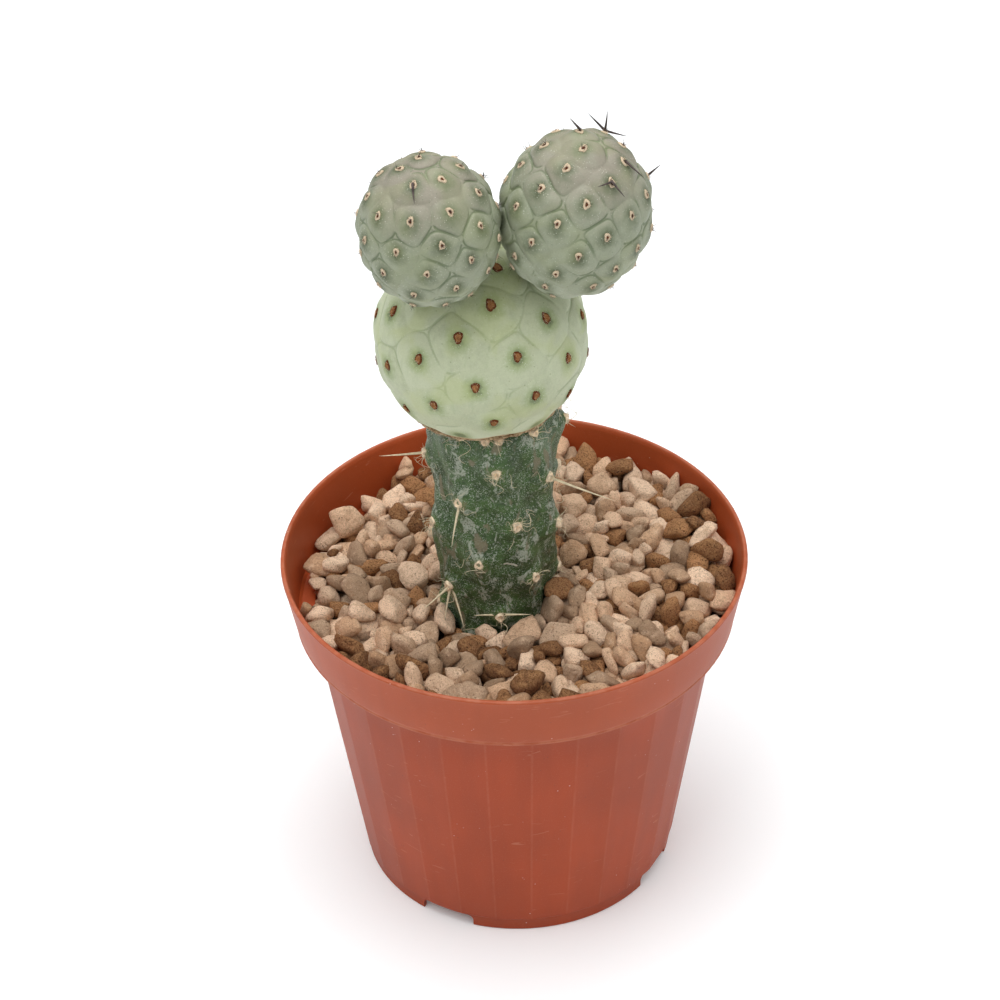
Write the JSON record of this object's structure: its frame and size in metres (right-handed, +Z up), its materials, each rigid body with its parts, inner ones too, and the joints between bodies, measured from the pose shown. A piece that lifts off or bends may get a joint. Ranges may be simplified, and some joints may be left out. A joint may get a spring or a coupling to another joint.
{
  "type": "potted grafted cactus",
  "caption": "Grafted cactus of round grey-green segments on a dark green columnar rootstock, in a faceted terracotta-coloured plastic nursery pot topped with pumice gravel.",
  "frame": {"origin": "middle of the pot's underside, on the surface that it stands on", "axes": "+Z up along the plant, -Y towards the front, +X to the right"},
  "size_m": [0.105, 0.105, 0.1993],
  "materials": {
    "pot_plastic": "satin",
    "soil": "matte",
    "pumice": "matte",
    "lava": "matte",
    "rootstock_skin": "satin",
    "callus": "matte",
    "pale_skin": "matte",
    "grey_skin": "matte",
    "straw_spine": "satin",
    "dark_spine": "satin"
  },
  "bodies": {
    "root": {"graft_callus": "callus", "gravel_bed": "pumice", "lava_stone_01": "lava", "lava_stone_02": "lava", "lava_stone_03": "lava", "lava_stone_04": "lava", "lava_stone_05": "lava", "lava_stone_06": "lava", "lava_stone_07": "lava", "lava_stone_08": "lava", "left_thorn_1": "dark_spine", "pot": "pot_plastic", "potting_soil": "soil", "pumice_stone_01": "pumice", "pumice_stone_02": "pumice", "pumice_stone_03": "pumice", "pumice_stone_04": "pumice", "pumice_stone_05": "pumice", "pumice_stone_06": "pumice", "pumice_stone_07": "pumice", "pumice_stone_08": "pumice", "pumice_stone_09": "pumice", "pumice_stone_10": "pumice", "pumice_stone_11": "pumice", "pumice_stone_12": "pumice", "pumice_stone_13": "pumice", "pumice_stone_14": "pumice", "pumice_stone_15": "pumice", "pumice_stone_16": "pumice", "pumice_stone_17": "pumice", "pumice_stone_18": "pumice", "pumice_stone_19": "pumice", "pumice_stone_20": "pumice", "pumice_stone_21": "pumice", "pumice_stone_22": "pumice", "pumice_stone_23": "pumice", "pumice_stone_24": "pumice", "pumice_stone_25": "pumice", "pumice_stone_26": "pumice", "pumice_stone_27": "pumice", "right_thorn_1": "dark_spine", "right_thorn_2": "dark_spine", "right_thorn_3": "dark_spine", "right_thorn_4": "dark_spine", "right_thorn_5": "dark_spine", "right_thorn_6": "dark_spine", "right_thorn_7": "dark_spine", "right_thorn_8": "dark_spine", "rootstock_stem": "rootstock_skin", "scion_left_segment": "grey_skin", "scion_lower_segment": "pale_skin", "scion_right_segment": "grey_skin", "stem_spine_1": "straw_spine", "stem_spine_2": "straw_spine", "stem_spine_3": "straw_spine", "stem_spine_4": "straw_spine", "stem_spine_5": "straw_spine", "stem_spine_6": "straw_spine", "stem_spine_7": "straw_spine", "stem_spine_8": "straw_spine"}
  },
  "joints": []
}
